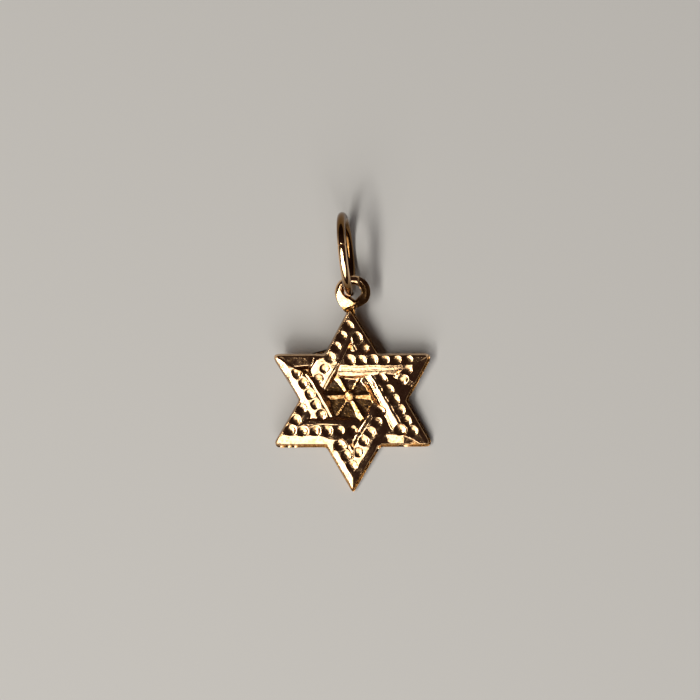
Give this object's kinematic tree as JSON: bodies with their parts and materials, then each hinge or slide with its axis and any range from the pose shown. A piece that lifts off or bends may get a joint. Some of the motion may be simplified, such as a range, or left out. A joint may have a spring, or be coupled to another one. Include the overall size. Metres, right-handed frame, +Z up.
{
  "type": "star of david pendant",
  "caption": "Small cast gold Star of David charm, its woven raised bands set with rows of punched dots, with an eyelet and a round jump ring for a chain; it lies on its points and ring.",
  "frame": {"origin": "on the surface that the charm lies on, under the middle of its box seen from above", "axes": "+Z up off the surface, +Y along the charm from the star to the jump ring, +X to the right as seen from above with the ring at the top"},
  "size_m": [0.0111, 0.0198, 0.006],
  "materials": {
    "cast_gold": "yellow gold, cast, bright on the raised bands and faintly rough and dark in the recesses",
    "wire_gold": "yellow gold, drawn wire, polished"
  },
  "bodies": {
    "root": {"star": "cast_gold", "jump_ring": "wire_gold"}
  },
  "joints": []
}
